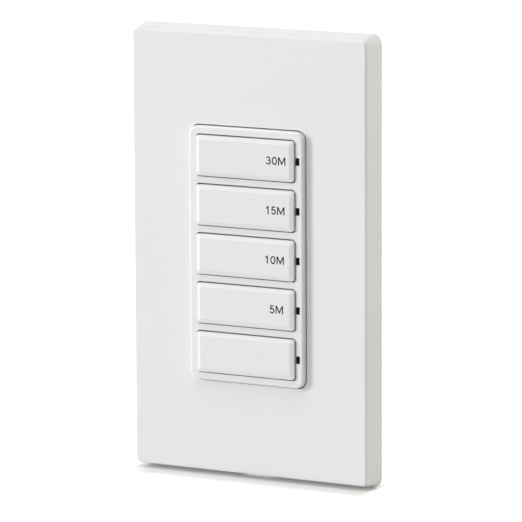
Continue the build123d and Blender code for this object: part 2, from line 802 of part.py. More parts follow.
# Housing: a deep tray with corner posts, board shelves, pillars and terminal bays
# What stands on a wall inside is rooted half a wall deep in it
root = housing_wall / 2
bay_block_inner = bay_floor - bay_wall
bay_block_outer = inner_width / 2 + root
bay_sides = [(1, terminal_place), (1, -terminal_place), (-1, terminal_place)]
with BuildPart() as housing:
    with BuildSketch(facing(housing_back)):
        RectangleRounded(housing_width, housing_height, housing_corner)
    extrude(amount=housing_depth)
    fillet(housing.faces().sort_by(Axis.Y)[-1].edges(), housing_back_round)
    with BuildSketch(facing(housing_inside)):
        RectangleRounded(inner_width, inner_height, housing_inner_corner)
    extrude(amount=-housing_inside, mode=Mode.SUBTRACT)
    with BuildSketch(facing(housing_inside - root)):
        with GridLocations(
            inner_width - corner_post_width + root, inner_height - corner_post_height + root, 2, 2
        ):
            Rectangle(corner_post_width + root, corner_post_height + root)
    extrude(amount=-housing_inside + root)
    with BuildSketch(facing(housing_inside - root)):
        with GridLocations(inner_width - shelf_reach + root, 2 * shelf_place, 2, 2):
            Rectangle(shelf_reach + root, shelf_width)
    extrude(amount=control_board_back - housing_inside + root)
    with BuildSketch(facing(housing_inside - root)):
        with GridLocations(0, 2 * board_screw_place, 1, 2):
            Circle(pillar_radius)
    extrude(amount=power_board_back - housing_inside + root)
    with BuildSketch(facing(power_board_back)):
        with GridLocations(0, 2 * board_screw_place, 1, 2):
            Circle(board_screw_radius + screw_hole_gap / 2)
    extrude(amount=-board_screw_length, mode=Mode.SUBTRACT)
    for side, height in bay_sides:
        with BuildSketch(facing(housing_inside - root)):
            with Locations((side * (bay_block_inner + bay_block_outer) / 2, height)):
                Rectangle(bay_block_outer - bay_block_inner, bay_height + 2 * bay_wall)
        extrude(amount=power_board_back - housing_inside + root)
        with BuildSketch(facing(bay_back)):
            with Locations((side * (bay_floor + bay_depth / 2 + overrun / 2), height)):
                Rectangle(bay_depth + overrun, bay_height)
        extrude(amount=bay_length, mode=Mode.SUBTRACT)
        # Slot for the lug's leg, from the bay to the power board
        with BuildSketch(facing(bay_front)):
            with Locations((side * (bay_floor + lug_thickness / 2), height)):
                Rectangle(lug_thickness + board_notch_gap, lug_leg_width + board_notch_gap)
        extrude(amount=bay_wall, mode=Mode.SUBTRACT)
        # Blind hole for the screw's tip
        with BuildSketch(Plane.YZ.offset(side * bay_floor)):
            with Locations((-bay_middle, height)):
                Circle(machine_screw_radius + screw_hole_gap)
        extrude(amount=-side * terminal_tip_hole, mode=Mode.SUBTRACT)
        # Two wire holes from the back of the housing into the bay
        wire_x = bay_floor + lug_thickness + wire_hole_radius
        with BuildSketch(facing(housing_back)):
            with Locations((side * wire_x, height)):
                with GridLocations(0, wire_hole_pitch, 1, 2):
                    Circle(wire_hole_radius)
        extrude(amount=bay_back - housing_back, mode=Mode.SUBTRACT)
    # Screw holes through the corner posts, counterbored from the back
    with BuildSketch(facing(housing_back)):
        with GridLocations(2 * housing_screw_place[0], 2 * housing_screw_place[1], 2, 2):
            Circle(housing_screw_radius + screw_hole_gap)
    extrude(amount=housing_depth, mode=Mode.SUBTRACT)
    with BuildSketch(facing(housing_back)):
        with GridLocations(2 * housing_screw_place[0], 2 * housing_screw_place[1], 2, 2):
            Circle(housing_screw_head_radius + counterbore_gap)
    extrude(amount=housing_depth - counterbore_level, mode=Mode.SUBTRACT)
    # A shallow panel in the back, and the groove that shows how far to strip a wire
    with BuildSketch(facing(housing_back)):
        RectangleRounded(
            housing_width * back_panel_width_share, housing_height * back_panel_height_share, back_panel_corner
        )
    extrude(amount=back_panel_depth, mode=Mode.SUBTRACT)
    with BuildSketch(facing(housing_back)):
        with Locations(share_of(housing_width, housing_height, strip_gauge_place_share)):
            SlotOverall(strip_gauge_length, strip_gauge_width, rotation=90)
    extrude(amount=strip_gauge_depth, mode=Mode.SUBTRACT)
housing.part.label = "housing"
export_step(housing.part, "parts/housing.step")


# Long screws from the back of the housing into the bezel bosses
with BuildPart() as housing_screws:
    with BuildSketch(facing(-counterbore_level)):
        with GridLocations(2 * housing_screw_place[0], 2 * housing_screw_place[1], 2, 2):
            Circle(housing_screw_head_radius)
    extrude(amount=-housing_screw_head_height)
    fillet(housing_screws.faces().sort_by(Axis.Y)[-4:].edges(), head_round)
    with BuildSketch(facing(-counterbore_level)):
        with GridLocations(2 * housing_screw_place[0], 2 * housing_screw_place[1], 2, 2):
            Circle(housing_screw_radius)
    extrude(amount=counterbore_level + strap_front + housing_screw_bite)
housing_screws.part.label = "housing_screws"
export_step(housing_screws.part, "parts/housing_screws.step")


# Terminal lugs: brass plates on the bay floors with a leg soldered into the power board
lug_outer = bay_floor + lug_thickness
clamp_inner = lug_outer + clamp_gap
clamp_outer = clamp_inner + clamp_thickness
with BuildPart() as terminal_lugs:
    for side, height in bay_sides:
        with BuildSketch(Plane.YZ.offset(side * bay_floor)):
            with Locations((-bay_middle, height)):
                Rectangle(bay_length - 2 * lug_end_gap, lug_width)
                Circle(machine_screw_radius + screw_hole_gap / 2, mode=Mode.SUBTRACT)
        extrude(amount=side * lug_thickness)
        with BuildSketch(facing(bay_front - 2 * lug_end_gap)):
            with Locations((side * (bay_floor + lug_thickness / 2), height)):
                Rectangle(lug_thickness, lug_leg_width)
        extrude(amount=power_board_front + lug_leg_proud - bay_front + 2 * lug_end_gap)
terminal_lugs.part.label = "terminal_lugs"
export_step(terminal_lugs.part, "parts/terminal_lugs.step")


# Clamp plates under the terminal screw heads, ribbed on the wire side
with BuildPart() as terminal_clamps:
    for side, height in bay_sides:
        with BuildSketch(Plane.YZ.offset(side * clamp_inner)):
            with Locations((-bay_middle, height)):
                RectangleRounded(clamp_size, clamp_size, clamp_corner)
                Circle(machine_screw_radius + screw_hole_gap, mode=Mode.SUBTRACT)
        extrude(amount=side * clamp_thickness)
        with BuildSketch(facing(bay_middle - clamp_size / 2 - overrun)):
            with Locations((side * clamp_inner, height)):
                with GridLocations(0, wire_hole_pitch, 1, 2):
                    Circle(clamp_rib_radius)
        extrude(amount=clamp_size + 2 * overrun, mode=Mode.SUBTRACT)
terminal_clamps.part.label = "terminal_clamps"
export_step(terminal_clamps.part, "parts/terminal_clamps.step")


# Terminal screws: brass for the switched pair, silver for the neutral
terminal_screw_end = bay_floor - terminal_tip_hole + terminal_screw_tip_gap
for name, sides in (("hot_screws", bay_sides[:2]), ("neutral_screw", bay_sides[2:])):
    with BuildPart() as terminal_screws:
        for side, height in sides:
            with BuildSketch(Plane.YZ.offset(side * clamp_outer)):
                with Locations((-bay_middle, height)):
                    Circle(terminal_head_radius)
            extrude(amount=side * terminal_head_height)
            with BuildSketch(Plane.YZ.offset(side * (clamp_outer + terminal_head_height))):
                with Locations((-bay_middle, height)):
                    Rectangle(driver_slot_width, 2 * terminal_head_radius + overrun)
            extrude(amount=-side * driver_slot_depth, mode=Mode.SUBTRACT)
            with BuildSketch(Plane.YZ.offset(side * terminal_screw_end)):
                with Locations((-bay_middle, height)):
                    Circle(machine_screw_radius)
            extrude(amount=side * (clamp_outer - terminal_screw_end))
    terminal_screws.part.label = name
    export_step(terminal_screws.part, f"parts/{name}.step")


# Relay: the sealed block that switches the lamp circuit
with BuildPart() as relay:
    with BuildSketch(facing(power_board_back)):
        with Locations(relay_place):
            Rectangle(relay_size[0], relay_size[1])
    extrude(amount=-relay_size[2])
    fillet(relay.edges().filter_by(Axis.Y), relay_round)
    fillet(relay.faces().sort_by(Axis.Y)[-1].edges(), relay_round)
relay.part.label = "relay"
export_step(relay.part, "parts/relay.step")


# Film capacitor across the line
with BuildPart() as film_capacitor:
    with BuildSketch(facing(power_board_back)):
        with Locations(film_capacitor_place):
            Rectangle(film_capacitor_size[0], film_capacitor_size[1])
    extrude(amount=-film_capacitor_size[2])
    fillet(film_capacitor.edges().filter_by(Axis.Y), film_capacitor_round)
    fillet(film_capacitor.faces().sort_by(Axis.Y)[-1].edges(), film_capacitor_round)
film_capacitor.part.label = "film_capacitor"
export_step(film_capacitor.part, "parts/film_capacitor.step")


def can_profile(radius, height):
    """Half outline of an aluminium can, with the crimp groove above its base."""
    with BuildSketch(Plane.YZ) as profile:
        with BuildLine():
            Polyline(
                (0, 0),
                (0, radius),
                (can_groove_start, radius),
                (can_groove_start + can_groove_height / 2, radius - can_groove_depth),
                (can_groove_start + can_groove_height, radius),
                (height - can_round, radius),
                (height, radius - can_round),
                (height, 0),
                close=True,
            )
        make_face()
    return profile.sketch


# Electrolytic capacitors: crimped aluminium cans
cans = (
    ("bulk_capacitor", bulk_capacitor_radius, bulk_capacitor_height, bulk_capacitor_place),
    ("output_capacitor", output_capacitor_radius, output_capacitor_height, output_capacitor_place),
)
for name, radius, height, place in cans:
    outline = can_profile(radius, height)
    with BuildPart() as can:
        turned = revolve(outline, axis=Axis.Y, mode=Mode.PRIVATE)
        with Locations((place[0], -power_board_back, place[1])):
            add(turned)
    can.part.label = name
    export_step(can.part, f"parts/{name}.step")


# Varistor: a coated disc standing on two leads
varistor_middle = power_board_back - varistor_stand - varistor_radius
with BuildPart() as varistor:
    with BuildSketch(Plane.XY.offset(varistor_place[1] - varistor_thickness / 2)):
        with Locations((varistor_place[0], -varistor_middle)):
            Circle(varistor_radius)
    extrude(amount=varistor_thickness)
    fillet(varistor.edges(), varistor_round)
    with BuildSketch(facing(power_board_back)):
        with Locations(varistor_place):
            with GridLocations(varistor_lead_pitch, 0, 2, 1):
                Circle(lead_radius)
    extrude(amount=-varistor_stand - varistor_radius)
varistor.part.label = "varistor"
export_step(varistor.part, "parts/varistor.step")


# Fuse: a round plastic can
with BuildPart() as fuse:
    with BuildSketch(facing(power_board_back)):
        with Locations(fuse_place):
            Circle(fuse_radius)
    extrude(amount=-fuse_height)
    fillet(fuse.faces().sort_by(Axis.Y)[-1].edges(), can_round)
fuse.part.label = "fuse"
export_step(fuse.part, "parts/fuse.step")


# Inductor: a wound drum between two flanges
with BuildPart() as inductor:
    with BuildSketch(facing(power_board_back)):
        with Locations(inductor_place):
            Circle(inductor_radius)
    extrude(amount=-inductor_flange)
    with BuildSketch(facing(power_board_back - inductor_flange)):
        with Locations(inductor_place):
            Circle(inductor_radius - inductor_waist)
    extrude(amount=-inductor_height + 2 * inductor_flange)
    with BuildSketch(facing(power_board_back - inductor_height + inductor_flange)):
        with Locations(inductor_place):
            Circle(inductor_radius)
    extrude(amount=-inductor_flange)
inductor.part.label = "inductor"
export_step(inductor.part, "parts/inductor.step")


# Bridge rectifier: a flat block on four leads
with BuildPart() as rectifier:
    with BuildSketch(facing(power_board_back - lead_radius)):
        with Locations(rectifier_place):
            Rectangle(rectifier_size[0], rectifier_size[1])
    extrude(amount=-rectifier_size[2])
    fillet(rectifier.edges().filter_by(Axis.Y), lead_radius)
    with BuildSketch(facing(power_board_back)):
        with Locations(rectifier_place):
            with GridLocations(rectifier_lead_pitch, rectifier_size[1] - 4 * lead_radius, 2, 2):
                Circle(lead_radius)
    extrude(amount=-2 * lead_radius)
rectifier.part.label = "rectifier"
export_step(rectifier.part, "parts/rectifier.step")


# Voltage regulator: a half-round body on three leads
with BuildPart() as regulator:
    with BuildSketch(facing(power_board_back - regulator_stand)):
        with Locations(regulator_place):
            Circle(regulator_radius)
            with Locations((0, -regulator_radius - regulator_flat)):
                Rectangle(2 * regulator_radius, 2 * regulator_radius, mode=Mode.SUBTRACT)
    extrude(amount=-regulator_height)
    with BuildSketch(facing(power_board_back)):
        with Locations(regulator_place):
            with GridLocations(regulator_lead_pitch, 0, 3, 1):
                Circle(lead_radius)
    extrude(amount=-regulator_stand - lead_radius)
regulator.part.label = "regulator"
export_step(regulator.part, "parts/regulator.step")


# Bleeder resistor: lies on the board, thicker at its end caps
with BuildSketch(Plane.XZ) as resistor_profile:
    with BuildLine():
        Polyline(
            (-resistor_length / 2, 0),
            (-resistor_length / 2, resistor_radius),
            (-resistor_length / 2 + resistor_cap, resistor_radius),
            (-resistor_length / 2 + resistor_cap + lead_radius, resistor_waist),
            (resistor_length / 2 - resistor_cap - lead_radius, resistor_waist),
            (resistor_length / 2 - resistor_cap, resistor_radius),
            (resistor_length / 2, resistor_radius),
            (resistor_length / 2, 0),
            close=True,
        )
    make_face()
with BuildPart() as bleeder_resistor:
    turned = revolve(resistor_profile.sketch, axis=Axis.X, mode=Mode.PRIVATE)
    with Locations((resistor_place[0], -power_board_back + resistor_radius, resistor_place[1])):
        add(turned)
bleeder_resistor.part.label = "bleeder_resistor"
export_step(bleeder_resistor.part, "parts/bleeder_resistor.step")


# Timer chip on the back of the control board
with BuildPart() as timer_chip:
    with BuildSketch(facing(control_board_back - chip_lead_thickness / 2)):
        with Locations(chip_place):
            Rectangle(chip_size[1], chip_size[0])
    extrude(amount=-chip_size[2])
    with BuildSketch(facing(control_board_back)):
        with Locations(chip_place):
            with GridLocations(0, chip_lead_pitch, 1, chip_leads):
                Rectangle(chip_size[1] + 2 * chip_lead_reach, chip_lead_width)
    extrude(amount=-chip_lead_thickness)
timer_chip.part.label = "timer_chip"
export_step(timer_chip.part, "parts/timer_chip.step")


# Quartz crystal in its metal can
with BuildPart() as crystal:
    with BuildSketch(facing(control_board_back)):
        with Locations(crystal_place):
            SlotOverall(crystal_length, crystal_width, rotation=90)
    extrude(amount=-crystal_height)
    fillet(crystal.faces().sort_by(Axis.Y)[-1].edges(), can_round)
crystal.part.label = "crystal"
export_step(crystal.part, "parts/crystal.step")
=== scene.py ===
import json
import math

import bmesh
import bpy
from mathutils import Matrix, Vector


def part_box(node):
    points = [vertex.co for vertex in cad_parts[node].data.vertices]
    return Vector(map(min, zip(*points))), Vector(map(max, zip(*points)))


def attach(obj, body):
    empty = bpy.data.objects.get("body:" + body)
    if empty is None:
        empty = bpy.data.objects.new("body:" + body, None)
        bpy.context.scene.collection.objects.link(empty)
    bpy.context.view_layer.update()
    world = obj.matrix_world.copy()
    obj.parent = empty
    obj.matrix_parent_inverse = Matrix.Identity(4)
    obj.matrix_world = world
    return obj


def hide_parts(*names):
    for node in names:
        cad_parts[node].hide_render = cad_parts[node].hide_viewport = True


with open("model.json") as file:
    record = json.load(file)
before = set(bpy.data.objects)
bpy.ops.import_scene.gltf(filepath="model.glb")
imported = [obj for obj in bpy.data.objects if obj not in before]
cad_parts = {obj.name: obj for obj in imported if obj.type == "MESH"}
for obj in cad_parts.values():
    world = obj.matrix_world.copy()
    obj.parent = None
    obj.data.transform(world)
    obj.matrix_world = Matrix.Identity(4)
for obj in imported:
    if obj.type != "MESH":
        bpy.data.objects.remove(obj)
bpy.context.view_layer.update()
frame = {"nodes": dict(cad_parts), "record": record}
mm = 0.001
print("frame loaded")


# The camera stands where the photograph was taken from
view = {
    "yaw": 28.003,  # degrees to the right of the switch
    "pitch": 9.73,  # degrees above it
    "roll": -0.254,
    "distance": 1165.869 * mm,
    "aim": (0.18 * mm, 0.0, -2.224 * mm),
    "focalLength": 309.9,  # in mm, as the sensor's width
    "sensorWidth": 36.0,
    "clip": (0.05, 60.0),
}


def placeCamera(settings):
    yaw, pitch, roll = (math.radians(settings[key]) for key in ("yaw", "pitch", "roll"))
    back = Vector((math.sin(yaw) * math.cos(pitch), -math.cos(yaw) * math.cos(pitch), math.sin(pitch)))
    right = Vector((math.cos(yaw), math.sin(yaw), 0))
    up = back.cross(right)
    turnedRight = right * math.cos(roll) + up * math.sin(roll)
    turnedUp = up * math.cos(roll) - right * math.sin(roll)
    eye = Vector(settings["aim"]) + back * settings["distance"]
    lens = bpy.data.cameras.new("productCamera")
    lens.sensor_width = settings["sensorWidth"]
    lens.lens = settings["focalLength"]
    lens.clip_start, lens.clip_end = settings["clip"]
    camera = bpy.data.objects.new("productCamera", lens)
    turn = Matrix((turnedRight, turnedUp, back)).transposed().to_4x4()
    camera.matrix_world = Matrix.Translation(eye) @ turn
    bpy.context.collection.objects.link(camera)
    bpy.context.scene.camera = camera


placeCamera(view)
print("camera placed")


# Node helpers, for the materials, the threads, the floor and the world
def feed(tree, socket, value):
    if isinstance(value, bpy.types.NodeSocket):
        tree.links.new(value, socket)
    else:
        socket.default_value = value


def addMath(tree, operation, *values):
    node = tree.nodes.new("ShaderNodeMath")
    node.operation = operation
    for socket, value in zip(node.inputs, values):
        feed(tree, socket, value)
    return node.outputs[0]


def patternSpace(tree, stretch=(1, 1, 1), turn=(0, 0, 0)):
    place = tree.nodes.new("ShaderNodeTexCoord")
    spread = tree.nodes.new("ShaderNodeMapping")
    spread.inputs["Scale"].default_value = stretch
    spread.inputs["Rotation"].default_value = turn
    tree.links.new(place.outputs["Object"], spread.inputs["Vector"])
    return spread.outputs["Vector"]


def addNoise(tree, space, scale, detail):
    noise = tree.nodes.new("ShaderNodeTexNoise")
    noise.inputs["Scale"].default_value = scale
    noise.inputs["Detail"].default_value = detail
    tree.links.new(space, noise.inputs["Vector"])
    return noise.outputs["Fac"]


def addRange(tree, source, low, high, fromLow=0.3, fromHigh=0.7):
    span = tree.nodes.new("ShaderNodeMapRange")
    span.inputs["From Min"].default_value = fromLow
    span.inputs["From Max"].default_value = fromHigh
    span.inputs["To Min"].default_value = low
    span.inputs["To Max"].default_value = high
    tree.links.new(source, span.inputs["Value"])
    return span.outputs["Result"]


def addBlend(tree, source, first, second, low=0.3, high=0.7):
    ramp = tree.nodes.new("ShaderNodeValToRGB")
    ramp.color_ramp.elements[0].position = low
    ramp.color_ramp.elements[0].color = (*first, 1)
    ramp.color_ramp.elements[1].position = high
    ramp.color_ramp.elements[1].color = (*second, 1)
    tree.links.new(source, ramp.inputs["Fac"])
    return ramp.outputs["Color"]


def addRelief(tree, shader, height, depth):
    relief = tree.nodes.new("ShaderNodeBump")
    relief.inputs["Strength"].default_value = 1.0
    relief.inputs["Distance"].default_value = depth
    tree.links.new(height, relief.inputs["Height"])
    tree.links.new(relief.outputs["Normal"], shader.inputs["Normal"])


def addSeen(tree):
    # 1 where the surface is seen, straight, mirrored or through a clear piece, and 0 where it only lights others
    rays = tree.nodes.new("ShaderNodeLightPath").outputs
    seen = addMath(tree, "MAXIMUM", rays["Is Camera Ray"], rays["Is Glossy Ray"])
    return addMath(tree, "MAXIMUM", seen, rays["Is Transmission Ray"])


# Materials: one maker for plastics and metals, one for the circuit boards
def startMaterial(name):
    material = bpy.data.materials.new(name)
    material.use_nodes = True
    shader = material.node_tree.nodes["Principled BSDF"]
    return material, material.node_tree, shader


def shaded(colour, spread):
    return tuple(max(0.0, min(1.0, part * (1 + spread))) for part in colour)


def grainedFinish(name, look):
    material, tree, shader = startMaterial(name)
    space = patternSpace(tree, look["brush"])
    cloud = addNoise(tree, space, look["cloudScale"], look["cloudDetail"])
    grain = addNoise(tree, space, look["grainScale"], look["grainDetail"])
    darker, lighter = (shaded(look["colour"], sign * look["spread"]) for sign in (-1, 1))
    tree.links.new(addBlend(tree, cloud, darker, lighter), shader.inputs["Base Color"])
    tree.links.new(addRange(tree, grain, *look["roughness"]), shader.inputs["Roughness"])
    addRelief(tree, shader, grain, look["grainDepth"])
    for socket, value in look["shader"].items():
        shader.inputs[socket].default_value = value
    return material


def laminateFinish(name, look):
    material, tree, shader = startMaterial(name)
    tracks = tree.nodes.new("ShaderNodeTexBrick")
    tracks.inputs["Scale"].default_value = look["trackScale"]
    tracks.inputs["Mortar Size"].default_value = look["trackWidth"]
    tracks.inputs["Color1"].default_value = (*look["colour"], 1)
    tracks.inputs["Color2"].default_value = (*shaded(look["colour"], -look["spread"]), 1)
    tracks.inputs["Mortar"].default_value = (*look["trackColour"], 1)
    tree.links.new(patternSpace(tree, turn=(math.radians(90), 0, 0)), tracks.inputs["Vector"])
    tree.links.new(tracks.outputs["Color"], shader.inputs["Base Color"])
    weave = addNoise(tree, patternSpace(tree), look["weaveScale"], look["weaveDetail"])
    tree.links.new(addRange(tree, weave, *look["roughness"]), shader.inputs["Roughness"])
    addRelief(tree, shader, tracks.outputs["Fac"], look["trackDepth"])
    return material


def plastic(
    colour, roughness=(0.34, 0.46), spread=0.012, grainScale=1500.0, grainDepth=0.004 * mm, sheen=0.5, coat=0.0
):
    return {
        "colour": colour, "roughness": roughness, "spread": spread, "brush": (1, 1, 1),
        "cloudScale": 45.0, "cloudDetail": 2.0,
        "grainScale": grainScale, "grainDetail": 4.0, "grainDepth": grainDepth,
        "shader": {"Specular IOR Level": sheen, "Coat Weight": coat, "Coat Roughness": 0.12},
    }


def metal(colour, roughness=(0.24, 0.4), spread=0.08, brush=(1, 1, 1)):
    return {
        "colour": colour, "roughness": roughness, "spread": spread, "brush": brush,
        "cloudScale": 160.0, "cloudDetail": 3.0,
        "grainScale": 2200.0, "grainDetail": 5.0, "grainDepth": 0.004 * mm,
        "shader": {"Metallic": 1.0},
    }


# One finish for each material slot: colour, roughness from and to, spread of the colour, grain
finishes = {
    "cover_plastic": plastic((0.80, 0.80, 0.80), (0.36, 0.44), 0.006),
    "bezel_plastic": plastic((0.80, 0.80, 0.80), (0.34, 0.42), 0.006),
    "button_plastic": plastic((0.795, 0.795, 0.795), (0.32, 0.40), 0.006),
    "sub_plate_plastic": plastic((0.72, 0.72, 0.70), (0.5, 0.62), 0.02),
    "strap_steel": metal((0.50, 0.51, 0.51), (0.3, 0.44), 0.10, brush=(1, 1, 0.06)),
    "plated_steel": metal((0.52, 0.52, 0.50), (0.2, 0.32), 0.05),
    "retainer_fibre": plastic((0.38, 0.07, 0.04), (0.6, 0.8), 0.12, 900.0, 0.02 * mm),
    "green_paint": metal((0.04, 0.30, 0.10), (0.25, 0.4), 0.06),
    "smoked_lens": plastic((0.002, 0.002, 0.0025), (0.22, 0.3), 0.05, sheen=0.06),
    "led_resin": plastic((0.80, 0.74, 0.48), (0.15, 0.25), 0.04),
    "board_laminate": {
        "colour": (0.012, 0.10, 0.035), "spread": 0.15, "roughness": (0.3, 0.42),
        "trackColour": (0.03, 0.19, 0.07), "trackScale": 320.0, "trackWidth": 0.06, "trackDepth": 0.03 * mm,
        "weaveScale": 1400.0, "weaveDetail": 2.0,
    },
    "header_plastic": plastic((0.015, 0.015, 0.015), (0.45, 0.6), 0.1),
    "housing_plastic": plastic((0.028, 0.029, 0.032), (0.45, 0.62), 0.1, 900.0, 0.018 * mm),
    "terminal_brass": metal((0.74, 0.52, 0.20), (0.2, 0.34)),
    "nickel_plate": metal((0.50, 0.49, 0.47), (0.40, 0.52), 0.04),
    "relay_case": plastic((0.015, 0.05, 0.22), (0.4, 0.55), 0.06),
    "film_case": plastic((0.62, 0.42, 0.03), (0.3, 0.42), 0.05),
    "can_sleeve": plastic((0.012, 0.012, 0.02), (0.22, 0.32), 0.1, coat=0.3),
    "varistor_coat": plastic((0.02, 0.09, 0.33), (0.25, 0.4), 0.1, 700.0, 0.03 * mm),
    "fuse_case": plastic((0.13, 0.03, 0.02), (0.4, 0.55), 0.08),
    "ferrite": plastic((0.03, 0.027, 0.025), (0.5, 0.7), 0.15, 800.0, 0.02 * mm),
    "chip_resin": plastic((0.012, 0.012, 0.012), (0.5, 0.65), 0.12),
    "resistor_coat": plastic((0.30, 0.42, 0.40), (0.35, 0.5), 0.06),
    "switch_plastic": plastic((0.015, 0.015, 0.015), (0.45, 0.6), 0.1),
    "plunger_plastic": plastic((0.022, 0.022, 0.022), (0.35, 0.5), 0.1),
}
ownMakers = {"board_laminate": laminateFinish}
slotMaterials = {slot: ownMakers.get(slot, grainedFinish)(slot, look) for slot, look in finishes.items()}
for part in frame["record"]["subparts"]:
    for holder in frame["nodes"][part["node"]].material_slots:
        holder.material = slotMaterials[part["material_slot"]]
print("materials made:", len(slotMaterials))


# Minute marks, printed thin and grey on four of the buttons
marks = {
    "capHeight": 2.1 * mm,
    "strokeShare": 0.076,  # half a stroke's width, as a share of the height
    "letterGap": 0.16,  # between two letters, as a share of the height
    "inkDepth": 0.012 * mm,
    "words": {"30_min": "30M", "15_min": "15M", "10_min": "10M", "5_min": "5M"},
    "rightEnds": {"30_min": 12.05 * mm, "15_min": 11.74 * mm, "10_min": 11.51 * mm, "5_min": 11.2 * mm},
    "ink": plastic((0.014, 0.012, 0.010), (0.5, 0.65), 0.15, 2500.0, 0.002 * mm, sheen=0.2),
}
inkMaterial = grainedFinish("markInk", marks["ink"])


def arc(middleX, middleZ, radiusX, radiusZ, first, last, steps=18):
    turns = [math.radians(first + (last - first) * step / steps) for step in range(steps + 1)]
    return [(middleX + radiusX * math.cos(turn), middleZ + radiusZ * math.sin(turn)) for turn in turns]


# Each letter: its width, then the middle lines of its strokes, on a height of 1
letterForms = {
    "0": (0.69, [arc(0.345, 0.5, 0.277, 0.432, 0, 360, steps=30)[:-1]]),
    "1": (0.69, [[(0.17, 0.71), (0.42, 0.92)], [(0.42, 1.0), (0.42, 0.0)]]),
    "3": (0.67, [arc(0.33, 0.728, 0.22, 0.204, 165, -90), arc(0.335, 0.296, 0.267, 0.228, 90, -165)]),
    "5": (0.67, [
        [(0.57, 0.932), (0.17, 0.932), (0.105, 0.47)], arc(0.33, 0.333, 0.272, 0.265, 145, -160),
    ]),
    "M": (1.0, [
        [(0.068, 0.0), (0.068, 1.0)], [(0.932, 0.0), (0.932, 1.0)], [(0.10, 0.96), (0.5, 0.155), (0.90, 0.96)],
    ]),
}
closedLetters = ("0",)


def layStroke(shell, line, half, depth, closed, bluntest=0.3):
    # A flat bar along the line, mitred at its corners; bluntest keeps a sharp corner's mitre short
    points = [Vector(point) for point in line]
    rings = []
    for step, here in enumerate(points):
        before = points[step - 1] if step or closed else None
        after = points[(step + 1) % len(points)] if closed or step + 1 < len(points) else None
        ahead = (after - here if after else here - before).normalized()
        arriving = (here - before).normalized() if before else ahead
        across = (ahead + arriving).normalized().orthogonal()
        reach = half / max(across.dot(ahead.orthogonal()), bluntest)
        one, other = here + across * reach, here - across * reach
        corners = ((one, -depth), (other, -depth), (other, depth), (one, depth))
        rings.append([shell.verts.new((corner.x, y, corner.y)) for corner, y in corners])
    for first, second in zip(rings, rings[1:] + rings[:1] if closed else rings[1:]):
        for side in range(4):
            following = (side + 1) % 4
            shell.faces.new((first[side], first[following], second[following], second[side]))
    if not closed:
        shell.faces.new(rings[0])
        shell.faces.new(rings[-1])


def printMark(key, word, settings):
    scale = settings["capHeight"]
    width = sum(letterForms[letter][0] for letter in word) + settings["letterGap"] * (len(word) - 1)
    low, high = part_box("button_" + key)
    start = Vector((settings["rightEnds"][key] - width * scale, low[1], (low[2] + high[2] - scale) / 2))
    depth = settings["inkDepth"] / scale
    shell = bmesh.new()
    edge = 0.0
    for letter in word:
        letterWidth, lines = letterForms[letter]
        for line in lines:
            moved = [(x + edge, z) for x, z in line]
            layStroke(shell, moved, settings["strokeShare"], depth, letter in closedLetters)
        edge += letterWidth + settings["letterGap"]
    bmesh.ops.transform(shell, matrix=Matrix.Translation(start) @ Matrix.Scale(scale, 4), verts=shell.verts)
    bmesh.ops.recalc_face_normals(shell, faces=shell.faces)
    mesh = bpy.data.meshes.new("minuteMark_" + key)
    shell.to_mesh(mesh)
    shell.free()
    mesh.materials.append(inkMaterial)
    mark = bpy.data.objects.new("minuteMark_" + key, mesh)
    bpy.context.collection.objects.link(mark)
    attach(mark, "key_" + key)


for key, word in marks["words"].items():
    printMark(key, word, marks)
print("minute marks printed")


# Real threads on the screws that show behind the strap, from one Geometry Nodes tree
threads = {
    "box_screws": {"start": 0.7 * mm, "end": 24.1 * mm, "spacing": 83.34 * mm},
    "sub_plate_screws": {"start": 0.3 * mm, "end": 9.6 * mm, "spacing": 96.8 * mm},
}
threadForm = {
    "majorRadius": 1.7526 * mm,
    "minorRadius": 1.36 * mm,
    "pitch": 0.79375 * mm,
    "facets": 28,  # round the core, and in each turn of the ridge
    "ridgeSides": 4,
    "weldReach": 0.0005 * mm,  # joins the shank's loose corners before it is cut
    "cutReach": 0.0001 * mm,
}


